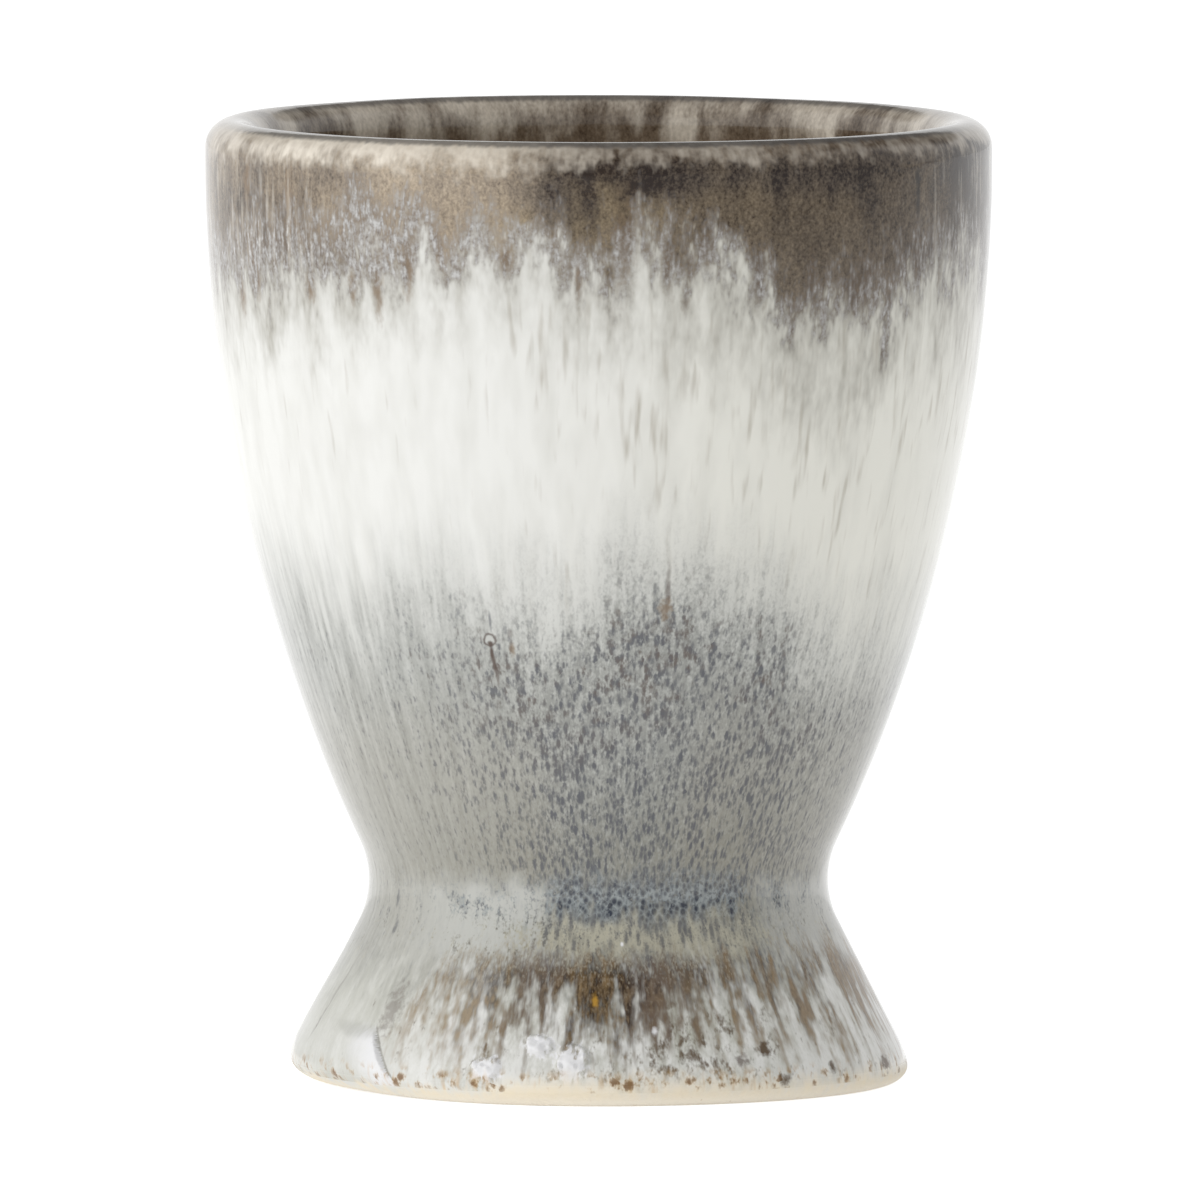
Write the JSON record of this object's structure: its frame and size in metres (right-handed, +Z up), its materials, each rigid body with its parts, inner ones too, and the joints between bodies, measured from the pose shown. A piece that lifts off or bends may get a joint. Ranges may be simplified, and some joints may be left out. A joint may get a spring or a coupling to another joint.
{
  "type": "egg cup",
  "caption": "Footed egg cup in reactive-glazed stoneware: a rounded bowl on a flared hollow foot, with a brown rim, a white middle, a flecked grey lower bowl and a bare foot ring.",
  "frame": {"origin": "middle of the foot ring's resting plane", "axes": "+Z up along the cup's axis, from the foot to the mouth"},
  "size_m": [0.049, 0.049, 0.06],
  "materials": {
    "stoneware": "bare fired stoneware, matt",
    "slip": "fired slip, matt",
    "rim_glaze": "glossy brown glaze that breaks to cream on the lip",
    "body_glaze": "glossy milk-white glaze, faintly streaked",
    "lower_glaze": "glossy grey-green glaze with dark slate flecks",
    "foot_glaze": "glossy brown glaze running into pale grey",
    "liner_glaze": "glossy white glaze, faintly streaked",
    "underside_glaze": "glossy pale grey glaze"
  },
  "bodies": {
    "root": {"bowl": "stoneware", "foot": "stoneware", "joint_slip": "slip", "rim_glaze": "rim_glaze", "body_glaze": "body_glaze", "lower_glaze": "lower_glaze", "foot_glaze": "foot_glaze", "liner_glaze": "liner_glaze", "underside_glaze": "underside_glaze"}
  },
  "joints": []
}
